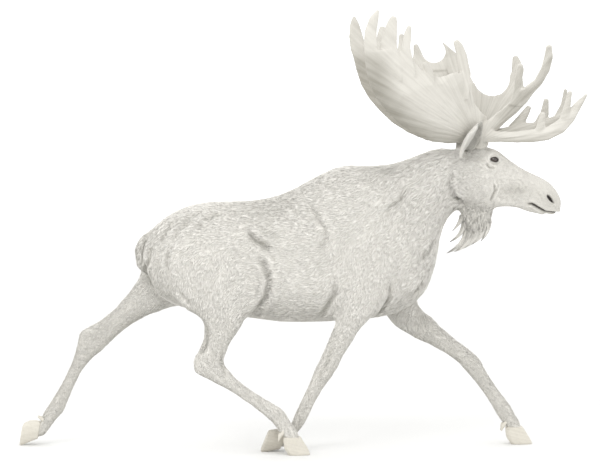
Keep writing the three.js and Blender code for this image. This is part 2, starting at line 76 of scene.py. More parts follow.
def distance(points, faces, voxel, low, shape):
    """Signed distance to a closed surface on a grid, exact within the band round it."""
    kind = "quads" if faces.shape[1] == 4 else "triangles"
    transform = vdb.createLinearTransform(voxelSize=voxel)
    level = vdb.FloatGrid.createLevelSetFromPolygons(
        np.ascontiguousarray(points - low, np.float32), transform=transform, halfWidth=BAND,
        **{kind: np.ascontiguousarray(faces, np.uint32)})
    values = np.empty(shape, np.float32)
    level.copyToArray(values)
    return values


def zero_surface(values, voxel, low):
    """The surface where a grid of distances is zero, as points and quads facing out."""
    grid = vdb.FloatGrid(BAND * voxel)
    grid.copyFromArray(np.ascontiguousarray(values, np.float32))
    grid.transform = vdb.createLinearTransform(voxelSize=voxel)
    points, quads = grid.convertToQuads(isovalue=0.0)
    points = points.astype(np.float64) + low
    a, b, c = (points[quads[:, k]] for k in range(3))
    outward = np.einsum("ij,ij->", a, np.cross(b, c)) > 0
    return points, quads.astype(np.int64) if outward else quads[:, ::-1].astype(np.int64)


def blurred(values, spread):
    """A grid smoothed by a bell curve of that many voxels along each axis."""
    reach = int(np.ceil(2.5 * spread))
    weights = np.exp(-0.5 * (np.arange(-reach, reach + 1) / spread) ** 2)
    weights /= weights.sum()
    for axis in range(3):
        values = sum(w * np.roll(values, k - reach, axis) for k, w in enumerate(weights))
    return values


def merged(nodes, voxel, spread, closing=0.0016, fuller=0.0, reshape=None):
    """The smooth surface round several nodes, with the grid of nearest nodes that it came from. closing
    is half the width of the cuts that it bridges, and fuller is how far it then stands outside the
    nodes. reshape(x, y, z, values) may change the distances first."""
    margin = 8 * voxel
    meshes = [mesh_of(n) for n in nodes]
    low = np.min([m[0].min(0) for m in meshes], 0) - margin
    high = np.max([m[0].max(0) for m in meshes], 0) + margin
    shape = tuple(np.ceil((high - low) / voxel).astype(int))
    whole = np.full(shape, BAND * voxel, np.float32)
    nearest = np.zeros(shape, np.int16)
    for k, (points, faces) in enumerate(meshes):
        values = distance(points, faces, voxel, low, shape)
        closer = values < whole
        whole[closer] = values[closer]
        nearest[closer] = k
    if reshape:
        axes = [low[k] + voxel * np.arange(shape[k]) for k in range(3)]
        whole = reshape(*np.meshgrid(*axes, indexing="ij", sparse=True), whole).astype(np.float32)
    # The thin cuts between nodes close when the whole is a little fatter; measuring again forgets them.
    points, quads = zero_surface(whole - closing, voxel, low)
    whole = blurred(distance(points, quads, voxel, low, shape) + closing - fuller, spread)
    points, quads = zero_surface(whole, voxel, low)
    return points, quads, {"nearest": nearest, "low": low, "voxel": voxel}


def refined(points, quads, fans, inside):
    """Quads whose middle is inside are split in four; their neighbours become fans of triangles."""
    sides = np.stack([quads, np.roll(quads, -1, 1)], 2)
    ends, edge = np.unique(np.sort(sides.reshape(-1, 2), 1), axis=0, return_inverse=True)
    edge = edge.reshape(-1, 4)
    split = inside(points[quads].mean(1))
    cut = np.zeros(len(ends), bool)
    cut[edge[split]] = True
    number = np.cumsum(cut) - 1 + len(points)
    points = np.concatenate([points, points[ends[cut]].mean(1)])
    touched = split | cut[edge].any(1)
    centre = np.full(len(quads), -1)
    centre[touched] = np.arange(touched.sum()) + len(points)
    points = np.concatenate([points, points[quads[touched]].mean(1)])
    middle = number[edge]
    pieces = [np.stack([quads[:, k], middle[:, k], centre, middle[:, k - 1]], 1)[split] for k in range(4)]
    fringe = touched & ~split
    for k in range(4):
        here, after = quads[:, k], quads[:, (k + 1) % 4]
        halved, whole = fringe & cut[edge[:, k]], fringe & ~cut[edge[:, k]]
        fans = np.concatenate([
            fans,
            np.stack([centre, here, middle[:, k]], 1)[halved],
            np.stack([centre, middle[:, k], after], 1)[halved],
            np.stack([centre, here, after], 1)[whole]])
    return points, np.concatenate([quads[~touched], *pieces]), fans


class Surface:
    """A surface of triangles whose points can be relaxed and moved."""

    def __init__(self, points, quads, fans=np.empty((0, 3), int)):
        self.points = points
        self.faces = np.concatenate([quads[:, [0, 1, 2]], quads[:, [0, 2, 3]], fans])
        self.outline = np.concatenate([
            np.stack([quads, np.roll(quads, -1, 1)], 2).reshape(-1, 2),
            np.stack([fans, np.roll(fans, -1, 1)], 2).reshape(-1, 2)])
        self.count = np.bincount(self.outline[:, 0], minlength=len(points))[:, None]

    def mean(self, values):
        """The mean of the neighbours' values at every point."""
        start, end = self.outline.T
        total = [np.bincount(start, values[end, k], len(values)) for k in range(values.shape[1])]
        return np.stack(total, 1) / np.maximum(self.count, 1)

    def relax(self, passes, share):
        """Moves points by a share of the way to their neighbours' mean, again and again."""
        for _ in range(passes):
            self.points = self.points + share * (self.mean(self.points) - self.points)

    def normals(self):
        """Unit outward normals at the points."""
        a, b, c = (self.points[self.faces[:, k]] for k in range(3))
        face = np.cross(b - a, c - a)
        total = np.stack([
            np.bincount(self.faces.reshape(-1), np.repeat(face[:, k], 3), len(self.points))
            for k in range(3)], 1)
        return total / np.maximum(np.linalg.norm(total, axis=1, keepdims=True), 1e-12)

    def push(self, amount):
        """Moves every point along its normal."""
        self.points = self.points + self.normals() * np.asarray(amount)[:, None]


def mesh_object(name, points, faces):
    """A smooth-shaded mesh object from whole arrays of points and of faces with the same number of sides."""
    mesh = bpy.data.meshes.new(name)
    sides = faces.shape[1]
    mesh.vertices.add(len(points))
    mesh.vertices.foreach_set("co", np.ascontiguousarray(points, np.float32).ravel())
    mesh.loops.add(faces.size)
    mesh.loops.foreach_set("vertex_index", faces.astype(np.int32).ravel())
    mesh.polygons.add(len(faces))
    mesh.polygons.foreach_set("loop_start", np.arange(0, faces.size, sides, dtype=np.int32))
    mesh.polygons.foreach_set("use_smooth", np.full(len(faces), True))
    mesh.update(calc_edges=True)
    made = bpy.data.objects.new(name, mesh)
    bpy.context.scene.collection.objects.link(made)
    return made


def eased(value, low, high):
    """0 at low, 1 at high, with no corner at either."""
    t = np.clip((value - low) / (high - low), 0, 1)
    return t * t * (3 - 2 * t)


def unit(v):
    """Vectors of length one."""
    v = np.asarray(v, float)
    return v / np.maximum(np.linalg.norm(v, axis=-1, keepdims=True), 1e-12)


def centre(node):
    """The middle of a node's box."""
    low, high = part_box(node)
    return (np.array(low) + np.array(high)) / 2


def away(places, spot):
    """Distance of places from a spot on the left side or from its mirror image on the right."""
    return np.linalg.norm(np.abs(places) - spot, axis=1)


EYE = centre("eye_left")
EYE_RADIUS = (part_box("eye_left")[1][0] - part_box("eye_left")[0][0]) / 2
NOSTRIL = np.array([1.598, 0.078, 1.604])
CHEEK = np.array([1.235, 0.09, 1.66])

# The claws are measured with the flesh, so that the skin runs on into them instead of ending above them.
BODY = FLESH + [n for n in sorted(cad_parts) if n.startswith("hoof")]
points, quads, grid = merged(BODY, voxel=0.0137, spread=0.9)
fans = np.empty((0, 3), int)
# Finer faces in three rounds: the head, then the muzzle, eyes and cheeks, then the lids and nostrils.
for inside in (
        lambda p: (p[:, 0] > 1.0) & (p[:, 2] > 1.5),
        lambda p: (p[:, 0] > 1.43) & (p[:, 2] > 1.45) | (away(p, EYE) < 0.07) | (away(p, CHEEK) < 0.08),
        lambda p: (away(p, EYE) < 0.042) | (away(p, NOSTRIL) < 0.045)):
    points, quads, fans = refined(points, quads, fans, inside)
skin = Surface(points, quads, fans)
cell = np.round((skin.points - grid["low"]) / grid["voxel"]).astype(int)
part = grid["nearest"][tuple(np.clip(cell, 0, np.array(grid["nearest"].shape) - 1).T)]


def by_part(values, passes=0):
    """Each point's values from the part of the body it lies on, mixed with its neighbours'."""
    table = np.array([next(v for k, v in values.items() if n.startswith(k)) for n in BODY], float)
    field = table.reshape(len(BODY), -1)[part]
    for _ in range(passes):
        field = skin.mean(field)
    return field


skin.relax(passes=60, share=by_part({
    "trunk": 0.8, "neck": 0.6, "shoulder": 0.5, "thigh": 0.5, "gaskin": 0.1, "forearm": 0.1, "cannon": 0.03,
    "head": 0.2, "bell": 0.12, "tail": 0.1, "hoof": 0.03}, passes=12))
coat_depth = by_part({
    "trunk": 0.011, "neck": 0.015, "shoulder": 0.010, "thigh": 0.010, "gaskin": 0.006, "forearm": 0.006,
    "cannon": 0.0025, "head": 0.003, "bell": 0.008, "tail": 0.010, "hoof": 0.007}, passes=5)[:, 0]
skin.push(-coat_depth)

# How far each point of the skin then rises, or sinks, for the muscles and folds.
lift = np.zeros(len(skin.points))
facing = skin.normals()


def downward(node):
    """The long axis of a limb's node, from its upper end to its lower."""
    points = mesh_of(node)[0]
    axis = np.linalg.eigh(np.cov((points - points.mean(0)).T))[1][:, 2]
    return axis * -np.sign(axis[2])


def fold(line, depth, width, limb=None, turn=None, where=None):
    """A crease along a line in side view, on both flanks: a bell curve of the distance to the line,
    shallow at its ends, with a lower swelling on each hand. A limb's line is carried from the right
    limb to the left one and turned with it. The crease shows where the skin faces its flank, or else
    by the share in where."""
    for side in (-1, 1):
        path = np.array(line, float)
        if limb and side > 0:
            here, there = (centre(limb + "_" + hand)[[0, 2]] for hand in ("right", "left"))
            if turn is None:
                was, now = (np.arctan2(*downward(limb + "_" + hand)[[2, 0]]) for hand in ("right", "left"))
                turn = now - was
            turned = np.array([[np.cos(turn), np.sin(turn)], [-np.sin(turn), np.cos(turn)]])
            path = (path - here) @ turned + there
        start, step = path[:-1], np.diff(path, axis=0)
        span = np.linalg.norm(step, axis=1)
        done = np.concatenate([[0], np.cumsum(span)])
        near, far = np.full(len(skin.points), 9.0), np.zeros(len(skin.points))
        for k in range(len(step)):
            offset = skin.points[:, [0, 2]] - start[k]
            t = np.clip(offset @ step[k] / span[k] ** 2, 0, 1)
            gap = np.linalg.norm(offset - t[:, None] * step[k], axis=1)
            closer = gap < near
            near[closer] = gap[closer]
            far[closer] = ((done[k] + t * span[k]) / done[-1])[closer]
        seen = eased(facing[:, 1] * side, 0.1, 0.45) if where is None else 0.5 * where
        shape = 0.5 * np.exp(-((near / width - 2.2) / 1.1) ** 2) - np.exp(-(near / width) ** 2)
        lift[:] += depth * shape * seen * eased(far, 0, 0.2) * eased(far, 1, 0.8)


def swell(x, y, z, radii, height):
    """A low mound or hollow on both flanks, a bell curve over an egg shape."""
    for side in (-1, 1):
        offset = (skin.points - (x, side * y, z)) / radii
        lift[:] += height * np.exp(-(offset ** 2).sum(1))


# The haunch stands forward of the flank, and the skin gathers before it and over the rump.
fold([(-.284, 1.262), (-.226, 1.212), (-.193, 1.115), (-.21, 1.0), (-.262, .92), (-.31, .85)], .025, .018,
     "thigh", -0.5)
fold([(-.225, 1.3), (-.171, 1.24), (-.15, 1.16)], .013, .012, "thigh", -0.5)
fold([(-.262, 1.135), (-.263, 1.08), (-.282, .985)], .012, .011, "thigh", -0.5)
fold([(-.813, 1.33), (-.842, 1.25), (-.838, 1.16)], .013, .012, "thigh", -0.5)
fold([(-.77, 1.065), (-.734, 1.0), (-.67, .945)], .015, .013, "thigh", -0.7)
fold([(-.33, 1.445), (-.31, 1.388), (-.252, 1.338), (-.155, 1.285)], .017, .018)
fold([(-.755, 1.485), (-.824, 1.437), (-.885, 1.34)], .012, .019)
fold([(-.615, 1.53), (-.705, 1.482), (-.766, 1.42), (-.818, 1.335)], .012, .018)
fold([(-.478, 1.518), (-.575, 1.493), (-.634, 1.444), (-.658, 1.39)], .011, .018)
# Hock, the hollow before its tendon, and the tendons down the legs.
fold([(-.497, .668), (-.502, .582), (-.470, .490)], .009, .011, "gaskin")
fold([(-.617, .86), (-.590, .771), (-.600, .695), (-.640, .625)], .013, .018, "gaskin")
fold([(-.415, .452), (-.325, .413)], .006, .008, "cannon_hind")
fold([(-.40, .395), (-.31, .357), (-.215, .308)], .005, .009, "cannon_hind")
fold([(-.40, .352), (-.31, .307), (-.19, .208)], .007, .008, "cannon_hind")
fold([(.215, .70), (.160, .561), (.100, .460)], .009, .013, "forearm")
fold([(.085, .40), (.02, .25), (-.03, .14)], .006, .009, "cannon_fore")
# The shoulder blade's edge, the point of the shoulder and the elbow.
fold([(.06, 1.61), (.098, 1.53), (.16, 1.43), (.165, 1.35), (.112, 1.28)], .013, .017)
fold([(.208, 1.105), (.221, 1.03), (.172, .94), (.13, .845)], .019, .015, "shoulder", 0.6)
fold([(.568, 1.085), (.567, .99), (.497, .86)], .019, .015, "shoulder", 0.6)
# Loose skin where the neck meets the shoulder and across the brisket.
fold([(.67, 1.68), (.64, 1.606), (.55, 1.542)], .023, .014)
fold([(.675, 1.592), (.6, 1.52)], .018, .012)
fold([(.852, 1.365), (.826, 1.28), (.735, 1.21)], .015, .014)
fold([(.79, 1.09), (.715, .985)], .013, .013)
# Muscles and bones under the skin.
fold([(-.955, 1.33), (-.949, 1.28), (-.958, 1.23), (-.98, 1.18), (-1.005, 1.15)], .018, .012,
     where=eased(skin.points[:, 0], -.86, -.9))
swell(-.42, .22, 1.40, (.10, .12, .06), .014)
swell(-.60, .25, 1.13, (.20, .14, .20), .016)
swell(-.22, .27, 1.36, (.09, .12, .08), -.012)
swell(.40, .24, 1.18, (.16, .12, .16), .015)
swell(.30, .24, 1.50, (.12, .12, .20), .012)
swell(.14, .27, 1.20, (.10, .12, .18), -.007)
swell(.62, .20, 1.25, (.10, .12, .10), .010)
swell(-.02, .28, 1.15, (.22, .12, .20), .008)
# The tail lies against the rump: a long drop shape with a groove round it.
drop = np.hypot(skin.points[:, 1] / .050, (skin.points[:, 2] - 1.265) / .165)
groove = .020 * np.exp(-((drop - 1.12) / .2) ** 2) * eased(skin.points[:, 2], 1.42, 1.34)
lift += eased(skin.points[:, 0], -.88, -.94) * (.012 * eased(drop, 0.95, 0.5) - groove)
# The face: jaw, cheek muscle, the ridge of bone from the eye to the nose, temple, brow and lips.
fold([(.975, 1.79), (.958, 1.70), (.975, 1.638), (1.06, 1.572)], .020, .013)
fold([(1.244, 1.735), (1.262, 1.69), (1.25, 1.65)], .005, .006)
fold([(1.236, 1.712), (1.243, 1.655), (1.207, 1.585)], .009, .008)
fold([(1.176, 1.838), (1.204, 1.806), (1.24, 1.803)], .012, .007)
fold([(1.425, 1.575), (1.485, 1.572), (1.533, 1.543), (1.57, 1.523), (1.66, 1.512), (1.75, 1.51)], .015, .008,
     where=skin.points[:, 0] > 1.4)
fold([(1.50, 1.655), (1.535, 1.625), (1.545, 1.585)], .003, .008)
fold([(1.535, 1.66), (1.56, 1.63), (1.565, 1.59)], .002, .006)
swell(1.10, .10, 1.69, (.085, .06, .085), .009)
swell(1.33, .085, 1.74, (.10, .04, .022), .006)
swell(1.38, .075, 1.66, (.09, .05, .04), -.007)
swell(1.15, .10, 1.87, (.035, .05, .03), -.007)
swell(1.225, .085, 1.902, (.040, .04, .016), .008)
swell(1.215, .10, 1.860, (.065, .06, .055), .009)
swell(1.60, .07, 1.56, (.05, .05, .03), .006)
swell(1.655, .05, 1.60, (.03, .05, .04), .005)
for _ in range(2):
    lift = 0.5 * lift + 0.5 * skin.mean(lift[:, None])[:, 0]
skin.push(lift)


def gaze(side):
    """Unit vectors at an eye: the way it looks, the way forwards along its lids, and the way up over it."""
    out = unit((0.26, side, 0.10))
    along = unit(np.array((1, 0, -0.25)) - out * ((1, 0, -0.25) @ out))
    return out, along, np.cross(along, out) * -side


# How bare and dark the skin is, from 0 to 1.
dark = np.zeros(len(skin.points))
for side in (-1, 1):
    # A lid lies a few millimetres over the eyeball and runs out into the face. The opening is an egg shape;
    # within it the skin drops behind the ball.
    out, along, over = gaze(side)
    offset = skin.points - EYE * (1, side, 1)
    u, v, w = offset @ along, offset @ over, offset @ out
    r = np.hypot(u, v)
    near = (r < 0.06) & (w > -0.03)
    margin = np.hypot(u / 0.0205, v / 0.0138)
    ball = np.sqrt(np.maximum(EYE_RADIUS ** 2 - r ** 2, 0)) + 0.0035
    height = ball + (w - ball) * eased(r, 0.017, 0.047)
    height += 0.002 * np.exp(-((margin - 1.25) / 0.2) ** 2)
    height -= 0.0028 * np.exp(-((margin - 2.05) / 0.25) ** 2) * eased(v, -0.03, 0.01)
    height += (0.4 * EYE_RADIUS - height) * eased(margin, 1.03, 0.86)
    skin.points = skin.points + (np.where(near, height - w, 0))[:, None] * out
    stain = np.hypot((u - 0.004) / 0.031, (v + 0.12 * (u - 0.004)) / 0.0185)
    dark = np.maximum(dark, np.where(near, eased(stain, 1.15, 0.82), 0))
    # A nostril is a slanting slot whose floor runs back under its upper rim.
    offset = skin.points - NOSTRIL * (1, side, 1)
    u, v = offset @ unit((.62, 0, -.78)), offset @ unit((.78, 0, .62))
    margin = np.where(skin.points[:, 1] * side > 0.02, np.hypot(u / .036, v / (.0105 - .07 * u)), 9)
    skin.points = skin.points + (
        (0.022 * eased(margin, 1.2, 0.4))[:, None] * unit((-.35, -side, .1))
        + (0.0045 * np.exp(-((margin - 1.5) / 0.32) ** 2))[:, None] * unit((.3, side, .1)))
    dark = np.maximum(dark, eased(margin, 1.15, 0.6))
# The lips meet in a bare dark line, painted darker where the crease between them is deeper, as shade in it.
dark = np.maximum(dark, 0.85 * eased(-lift, 0.003, 0.010) * eased(skin.points[:, 0], 1.42, 1.50)
                  * eased(skin.points[:, 2], 1.60, 1.58))


class Wire:
    """A shader socket. Sums of wires add Math nodes, and node() adds any other node."""

    def __init__(self, tree, socket=None):
        self.tree, self.socket = tree, socket

    def node(self, kind, settings=None, sockets=None, output=0):
        """A new node of a kind: its settings first, then the values or wires of its sockets."""
        made = self.tree.nodes.new("ShaderNode" + kind)
        for key, value in (settings or {}).items():
            setattr(made, key, value)
        for key, value in (sockets or {}).items():
            if isinstance(value, Wire):
                self.tree.links.new(value.socket, made.inputs[key])
            else:
                made.inputs[key].default_value = value
        return Wire(self.tree, made.outputs[output] if len(made.outputs) else None)

    def math(self, operation, *values, clamp=False):
        """A Math node's result, from 0 to 1 if clamped."""
        return self.node("Math", {"operation": operation, "use_clamp": clamp}, dict(enumerate(values)))

    def __add__(self, other):
        return self.math("ADD", self, other)

    def __sub__(self, other):
        return self.math("SUBTRACT", self, other)

    def __rsub__(self, other):
        return self.math("SUBTRACT", other, self)

    def __mul__(self, other):
        return self.math("MULTIPLY", self, other)

    __radd__, __rmul__ = __add__, __mul__

    def clipped(self):
        """This number, kept from 0 to 1."""
        return self.math("ADD", self, 0.0, clamp=True)

    def mix(self, first, second):
        """A colour between two, by this wire from 0 to 1."""
        return self.node("Mix", {"data_type": "RGBA"}, {0: self, 6: first, 7: second}, output=2)

    def tone(self, name):
        """A number kept on the mesh's points."""
        return self.node("Attribute", {"attribute_name": name}, output=2)

    def noise(self, scale, detail=3.0, stretch=(1, 1, 1)):
        """Noise over the object's own place, drawn out along an axis where its stretch is under one."""
        place = self.node("Mapping", {}, {0: self.node("TexCoord", output=3), 3: stretch})
        return self.node("TexNoise", {}, {"Vector": place, "Scale": scale, "Detail": detail})

    def bump(self, height, strength, distance):
        """A normal tilted by a height."""
        return self.node("Bump", {}, {"Strength": strength, "Distance": distance, "Height": height})


def finish(name, paint, **surface):
    """A material: paint(wire) gives the sockets that vary, surface those that don't."""
    material = bpy.data.materials.new(name)
    material.use_nodes = True
    material.node_tree.nodes.clear()
    wire = Wire(material.node_tree)
    sockets = {k.replace("_", " "): v for k, v in surface.items()}
    shader = wire.node("BsdfPrincipled", {}, {**sockets, **paint(wire)})
    wire.node("OutputMaterial", {}, {0: shader})
    return material


def keep(piece, **tones):
    """Stores numbers on a mesh's points for its material."""
    for name, values in tones.items():
        layer = piece.data.attributes.get(name) or piece.data.attributes.new(name, "FLOAT", "POINT")
        layer.data.foreach_set("value", np.ascontiguousarray(values, np.float32))


CREAM = (0.88, 0.86, 0.815, 1)
GREY = (0.46, 0.445, 0.40, 1)
BARE = (0.035, 0.030, 0.028, 1)


def hide(wire):
    """Hair and the skin under it: cream, greyer by the shade, and nearly black where the skin is bare."""
    hair = wire.noise(420.0, 3.0, (0.22, 1, 1))
    patch = wire.noise(9.0, 4.0)
    shade = wire.tone("shade") + (patch - 0.5) * 0.14 + (hair - 0.5) * 0.2
    bare = wire.tone("dark")
    colour = bare.mix(shade.clipped().mix(CREAM, GREY), BARE)
    return {"Base Color": colour, "Roughness": 0.85 - bare * 0.45, "Normal": wire.bump(hair, 0.5, 0.002)}


pelt = finish("pelt", hide, Specular_IOR_Level=0.25)

skin_object = mesh_object("skin", skin.points, skin.faces)
skin_object.data.materials.append(pelt)
keep(skin_object, dark=dark)
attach(skin_object, "root")
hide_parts(*FLESH)

# ---------------------------------------------------------------- Eyes
# Wet dark brown balls with a lying pupil, held deep in the head behind the lids. Each is a grid of turn and
# rise round the way it looks, closed by a point at each pole.
PUPIL = (0.003, 0.003, 0.004, 1)
IRIS_DARK = (0.016, 0.010, 0.006, 1)
IRIS_PALE = (0.060, 0.036, 0.020, 1)
EYE_RIM = (0.10, 0.08, 0.07, 1)


def wet(wire):
    """A lying egg-shaped pupil in a brown iris, with a paler ring at its edge far under the lids."""
    level, height = wire.tone("level"), wire.tone("height")
    reach = wire.math("SQRT", level * level + height * height)
    pupil = wire.math("LESS_THAN", level * level * 6.5 + height * height * 30.0, 1.0)
    iris = wire.noise(900.0, 2.0).mix(IRIS_DARK, IRIS_PALE)
    rim = wire.math("GREATER_THAN", reach, 0.80)
    return {"Base Color": rim.mix(pupil.mix(iris, PUPIL), EYE_RIM)}


for side, hand in ((-1, "right"), (1, "left")):
    turn, rise = np.meshgrid(np.linspace(0, 2 * np.pi, 48, endpoint=False), np.linspace(0, np.pi, 33)[1:-1])
    out, along, over = gaze(side)
    # The clear front stands a little further out than the ball.
    radius = EYE_RADIUS * (1 + 0.05 * np.exp(-(rise / 0.5) ** 2) - 0.05)
    ball = (radius * np.sin(rise) * np.cos(turn))[..., None] * along + \
        (radius * np.sin(rise) * np.sin(turn))[..., None] * over + (radius * np.cos(rise))[..., None] * out
    points = np.concatenate([ball.reshape(-1, 3), [EYE_RADIUS * out], [-0.95 * EYE_RADIUS * out]])
    rows, columns = ball.shape[:2]
    i, j = np.meshgrid(np.arange(rows - 1), np.arange(columns), indexing="ij")
    a, b = i * columns + j, i * columns + (j + 1) % columns
    ring, last = np.arange(columns), (rows - 1) * columns
    after, front_pole = (ring + 1) % columns, np.full(columns, rows * columns)
    faces = np.concatenate([
        np.stack([a, a + columns, b], -1).reshape(-1, 3),
        np.stack([b, a + columns, b + columns], -1).reshape(-1, 3),
        np.stack([front_pole, ring, after], 1),
        np.stack([front_pole + 1, last + after, last + ring], 1)])
    a, b, c = (points[faces[:, k]] for k in range(3))
    if np.einsum("ij,ij->", a, np.cross(b, c)) < 0:
        faces = faces[:, ::-1]
    eye = mesh_object("eyeball_" + hand, points + EYE * (1, side, 1), faces)
    keep(eye, level=points @ along / EYE_RADIUS, height=points @ over / EYE_RADIUS)
    wet_ball = finish("eye_" + hand, wet, Roughness=0.12, Coat_Weight=1.0, Coat_Roughness=0.03)
    eye.data.materials.append(wet_ball)
    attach(eye, "root")
    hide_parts("eye_" + hand)

# ---------------------------------------------------------------- Antlers
# Bare bone, grooved by the vessels of the velvet that fed it, pale on the tines and palm, rough at the
# burr. Each antler is one surface round its palm, fork and brow.
BONE_PALE = (0.635, 0.615, 0.565, 1)
BONE_DARK = (0.29, 0.275, 0.235, 1)


def bone(wire):
    """Grooves run out from the burr: noise fine over the bearing from it, drawn out along the distance."""
    bearing, reach, edge = wire.tone("bearing"), wire.tone("reach"), wire.tone("edge")
    place = wire.node("CombineXYZ", {}, {0: bearing * 26.0, 1: reach * 2.2, 2: edge})
    groove = wire.node("TexNoise", {}, {"Vector": place, "Scale": 1.0, "Detail": 5.0, "Roughness": 0.6})
    pits = wire.noise(160.0, 3.0)
    cloud = wire.noise(5.0, 4.0)
    shade = wire.tone("shade") + (groove - 0.5) * 1.0 + (cloud - 0.5) * 0.5
    return {"Base Color": shade.clipped().mix(BONE_PALE, BONE_DARK), "Roughness": 0.48 + pits * 0.25,
            "Normal": wire.bump(groove + pits * 0.18, 0.55, 0.006)}


horn = finish("antler_bone", bone, Specular_IOR_Level=0.4)

# The left antler's two webs are thin plates with a round hollow in the top edge. middle, top and radius are
# that round's; rear, front and low say how far the plate reaches; out is how far out it lies at the round's
# foot, and forwards and upwards how much further out it leans along each.
WEBS = (
    {"middle": 1.254, "top": 2.381, "radius": 0.123, "rear": 1.060, "front": 1.400, "low": 2.150,
     "out": 0.206, "forwards": 0.0, "upwards": 0.45},
    {"middle": 0.890, "top": 2.552, "radius": 0.078, "rear": 0.800, "front": 0.985, "low": 2.430,
     "out": 0.400, "forwards": -0.389, "upwards": 0.37})
WEB_HALF_THICKNESS = 0.007


def webbed(x, y, z, values):
    """Joins a plate to the antler under each web's edge, and cuts the round hollow out of both. A plate's
    distance is the greatest of its sides' distances; the join is the least of two distances, and the
    cut the greatest."""
    for web in WEBS:
        ahead, above = x - web["middle"], z - web["top"]
        hollow = web["radius"] - np.hypot(ahead, above)
        outwards = y - web["out"] - web["forwards"] * ahead - web["upwards"] * (above + web["radius"])
        # A leaning plate is nearer than its distance straight out.
        broad_side = np.abs(outwards) * 0.9 - WEB_HALF_THICKNESS
        ends = np.maximum(web["rear"] - x, x - web["front"])
        edges = np.maximum(web["low"] - z, above + 0.3 * web["radius"])
        plate = np.maximum(np.maximum(hollow, broad_side), np.maximum(ends, edges))
        values = np.maximum(np.minimum(values, plate), np.where(y > 0, hollow, -1))
    return values


for side, hand in ((-1, "right"), (1, "left")):
    nodes = [n for n in sorted(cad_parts) if n.startswith("antler_" + hand)]
    points, quads, _ = merged(nodes, voxel=0.0055, spread=0.6, closing=0.0045, fuller=0.0042,
                              reshape=webbed if hand == "left" else None)
    antler = Surface(points, quads)
    # Relaxing forwards and back takes out the steps of the grid and leaves the thin points their girth.
    for _ in range(9):
        antler.relax(passes=1, share=0.50)
        antler.relax(passes=1, share=-0.52)
    burr = np.array([1.14, side * 0.07, 1.975])
    offset = antler.points - burr
    reach = np.linalg.norm(offset, axis=1)
    bearing = np.arctan2(offset[:, 2], offset[:, 0])
    across = offset[:, 1] * side
    ridges = np.sin(bearing * 55 + 6 * np.sin(reach * 7)) * np.exp(-((reach - 0.25) / 0.25) ** 2)
    knobs = np.sin(antler.points @ (210, 120, 40)) * np.sin(antler.points @ (-60, 190, 150))
    knobs = knobs * np.exp(-(reach / 0.09) ** 2)
    antler.push(0.0010 * ridges * eased(reach, 0.95, 0.5) + 0.0035 * knobs)
    piece = mesh_object("antler_" + hand, antler.points, antler.faces)
    piece.data.materials.append(horn)
    # The palm is painted darker along its stout rear edge, an arc, and where the brow palm faces down:
    # painted shade.
    # The burr is darker too. The left antler is painted a little greyer all over, as shade.
    x, _, z = antler.points.T
    arc = np.hypot(x - 1.0, z - 2.5)
    rim = eased(arc, 0.40, 0.56) * eased(x, 1.08, 0.95) * eased(z, 2.62, 2.35)
    # Faces turned down are painted darker, as shade under them.
    under = eased(antler.normals()[:, 2], 0.25, -0.5) * eased(x, 1.16, 1.3)
    shade = 0.12 + 0.25 * np.exp(-(reach / 0.12) ** 2) + (0.28 if hand == "left" else 0.0)
    shade += 0.75 * rim + 0.50 * under
    keep(piece, bearing=bearing, reach=reach, edge=across * 3, shade=np.clip(shade, 0, 1))
    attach(piece, "root")
    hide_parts(*nodes)

# ---------------------------------------------------------------- Hooves
# Two claws of horn to a foot, ringed by growth, with two dewclaws behind. The horn grows down from the
# coronet, where the skin ends, and is flat below where it meets the floor.
HORN_PALE = (0.72, 0.69, 0.61, 1)
HORN_DARK = (0.33, 0.30, 0.25, 1)
# How far a ring of growth falls over a metre forwards.
RING_SLANT = 0.25
# Horn lower than this is pressed flat on the floor.
SOLE_HEIGHT = 0.0045


def claw_horn(wire):
    """Rings of growth from noise over the height alone, and streaks from noise over the whole place."""
    place = wire.node("CombineXYZ", {}, {2: wire.tone("grow") * 60.0})
    ring = wire.node("TexNoise", {}, {"Vector": place, "Scale": 1.0, "Detail": 3.0})
    streak = wire.noise(90.0, 4.0)
    shade = wire.tone("shade") + (ring - 0.5) * 0.55 + (streak - 0.5) * 0.25 + 0.30
    return {"Base Color": shade.clipped().mix(HORN_PALE, HORN_DARK), "Roughness": 0.38 + streak * 0.2,
            "Normal": wire.bump(ring + streak * 0.3, 0.4, 0.003)}


claws = finish("hoof_horn", claw_horn, Specular_IOR_Level=0.5)
for foot in ("fore_left", "fore_right", "hind_left", "hind_right"):
    nodes = [n for n in sorted(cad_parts) if foot in n and n.split("_")[0] in ("hoof", "dewclaw")]
    points, faces = np.empty((0, 3)), np.empty((0, 3), int)
    for n in nodes:
        corners, quads, _ = merged([n], voxel=0.0035, spread=0.7)
        one = Surface(corners, quads)
        one.relax(passes=4, share=0.4)
        x, _, z = one.points.T
        rings = np.sin((z + RING_SLANT * x) * 520) + 0.5 * np.sin(z * 830 + 1)
        one.push(0.0005 * rings * eased(z, z.min() + 0.008, z.min() + 0.02))
        if n.startswith("hoof"):
            one.points[one.points[:, 2] < SOLE_HEIGHT, 2] = 0.0
        faces = np.concatenate([faces, one.faces + len(points)])
        points = np.concatenate([points, one.points])
    piece = mesh_object("hooves_" + foot, points, faces)
    piece.data.materials.append(claws)
    # The right fore's claws are painted greyer all over, as shade.
    shade = np.full(len(points), 0.25 if foot == "fore_right" else 0.0)
    keep(piece, grow=points[:, 2] + RING_SLANT * points[:, 0], shade=shade)
    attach(piece, "root")
    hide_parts(*nodes)

